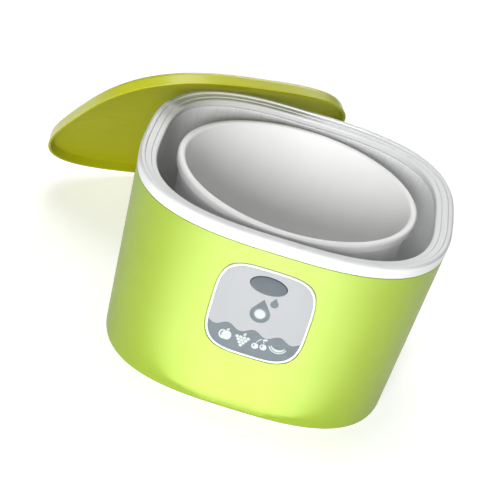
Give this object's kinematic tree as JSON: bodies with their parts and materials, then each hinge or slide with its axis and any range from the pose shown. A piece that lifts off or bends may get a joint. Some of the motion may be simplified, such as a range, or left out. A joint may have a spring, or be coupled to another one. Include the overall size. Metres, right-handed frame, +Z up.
{
  "type": "yogurt maker",
  "caption": "Countertop yogurt maker with a tapered rounded-square heated body, a lift-out round container, a front control panel and a loose shallow domed lid.",
  "frame": {"origin": "centre of the base cover's underside, with the feet reaching 2 mm below it", "axes": "+Z up along the container's axis; the control panel faces -Y, the power inlet faces +Y, +X is to the right seen from the panel side"},
  "size_m": [0.2514, 0.2853, 0.1341],
  "materials": {
    "housing_lime": "satin-gloss moulded lime plastic",
    "lid_lime": "satin-gloss moulded lime plastic, slightly deeper than the housing",
    "white_trim": "gloss white moulded plastic",
    "container_white": "smooth food-safe white plastic",
    "liner_grey": "satin silver-grey",
    "base_white": "fine matt texture",
    "foot_rubber": "matt",
    "panel_grey": "satin printed faceplate",
    "button_slate": "satin",
    "lens_clear": "frosted clear",
    "screw_steel": "zinc plated",
    "board_green": "solder mask",
    "black_plastic": "matt",
    "led_red": "translucent",
    "heater_aluminium": "rolled sheet",
    "mica": "pressed mica sheet",
    "felt": "needled heat-resistant felt",
    "ceramic": "ceramic",
    "relay_blue": "moulded",
    "capacitor_yellow": "moulded",
    "terminal_green": "moulded",
    "wire_brown": "wire insulation",
    "wire_blue": "wire insulation",
    "wire_white": "glass-braid insulation",
    "wire_red": "wire insulation",
    "wire_black": "wire insulation",
    "wire_grey": "wire insulation"
  },
  "bodies": {
    "base_unit": {"outer_housing": "housing_lime", "rim_ring": "white_trim", "panel_bezel": "white_trim", "cavity_liner": "liner_grey", "base_cover": "base_white", "rubber_foot_1": "foot_rubber", "rubber_foot_2": "foot_rubber", "rubber_foot_3": "foot_rubber", "rubber_foot_4": "foot_rubber", "panel_faceplate": "panel_grey", "indicator_lens": "lens_clear", "base_screw_1": "screw_steel", "base_screw_2": "screw_steel", "base_screw_3": "screw_steel", "base_screw_4": "screw_steel", "liner_screw_1": "screw_steel", "liner_screw_2": "screw_steel", "liner_screw_3": "screw_steel", "liner_screw_4": "screw_steel", "control_board_screw_1": "screw_steel", "control_board_screw_2": "screw_steel", "control_board_screw_3": "screw_steel", "control_board_screw_4": "screw_steel", "power_board_screw_1": "screw_steel", "power_board_screw_2": "screw_steel", "power_board_screw_3": "screw_steel", "power_board_screw_4": "screw_steel", "clamp_screw_1": "screw_steel", "clamp_screw_2": "screw_steel", "heater_clamp_bar": "screw_steel", "inlet_pin_1": "screw_steel", "inlet_pin_2": "screw_steel", "temperature_sensor": "screw_steel", "control_pcb": "board_green", "power_pcb": "board_green", "tact_switch": "black_plastic", "control_chip": "black_plastic", "power_inlet": "black_plastic", "status_led": "led_red", "heater_plate": "heater_aluminium", "mica_heater": "mica", "insulation_disc": "felt", "thermal_fuse": "ceramic", "relay": "relay_blue", "filter_capacitor": "capacitor_yellow", "terminal_block": "terminal_green", "mains_wire_1": "wire_brown", "mains_wire_2": "wire_blue", "heater_wire_1": "wire_white", "heater_wire_2": "wire_white", "fuse_wire": "wire_red", "sensor_wire": "wire_black", "panel_wire": "wire_grey"},
    "lid": {"outer_lid": "lid_lime"},
    "container": {"inner_container": "container_white"},
    "button": {"power_button": "button_slate"}
  },
  "joints": [
    {"name": "lid_lift", "type": "slide", "parent": "base_unit", "child": "lid", "axis": [0, 0, 1], "range_m": [0, 0.15]},
    {"name": "container_lift", "type": "slide", "parent": "base_unit", "child": "container", "axis": [0, 0, 1], "range_m": [0, 0.1]},
    {"name": "power_button_press", "type": "slide", "parent": "base_unit", "child": "button", "axis": [0, 0.9981, 0.0618], "range_m": [0, 0.0008], "stiffness_N_per_m": 800, "springref_m": -0.0005}
  ]
}
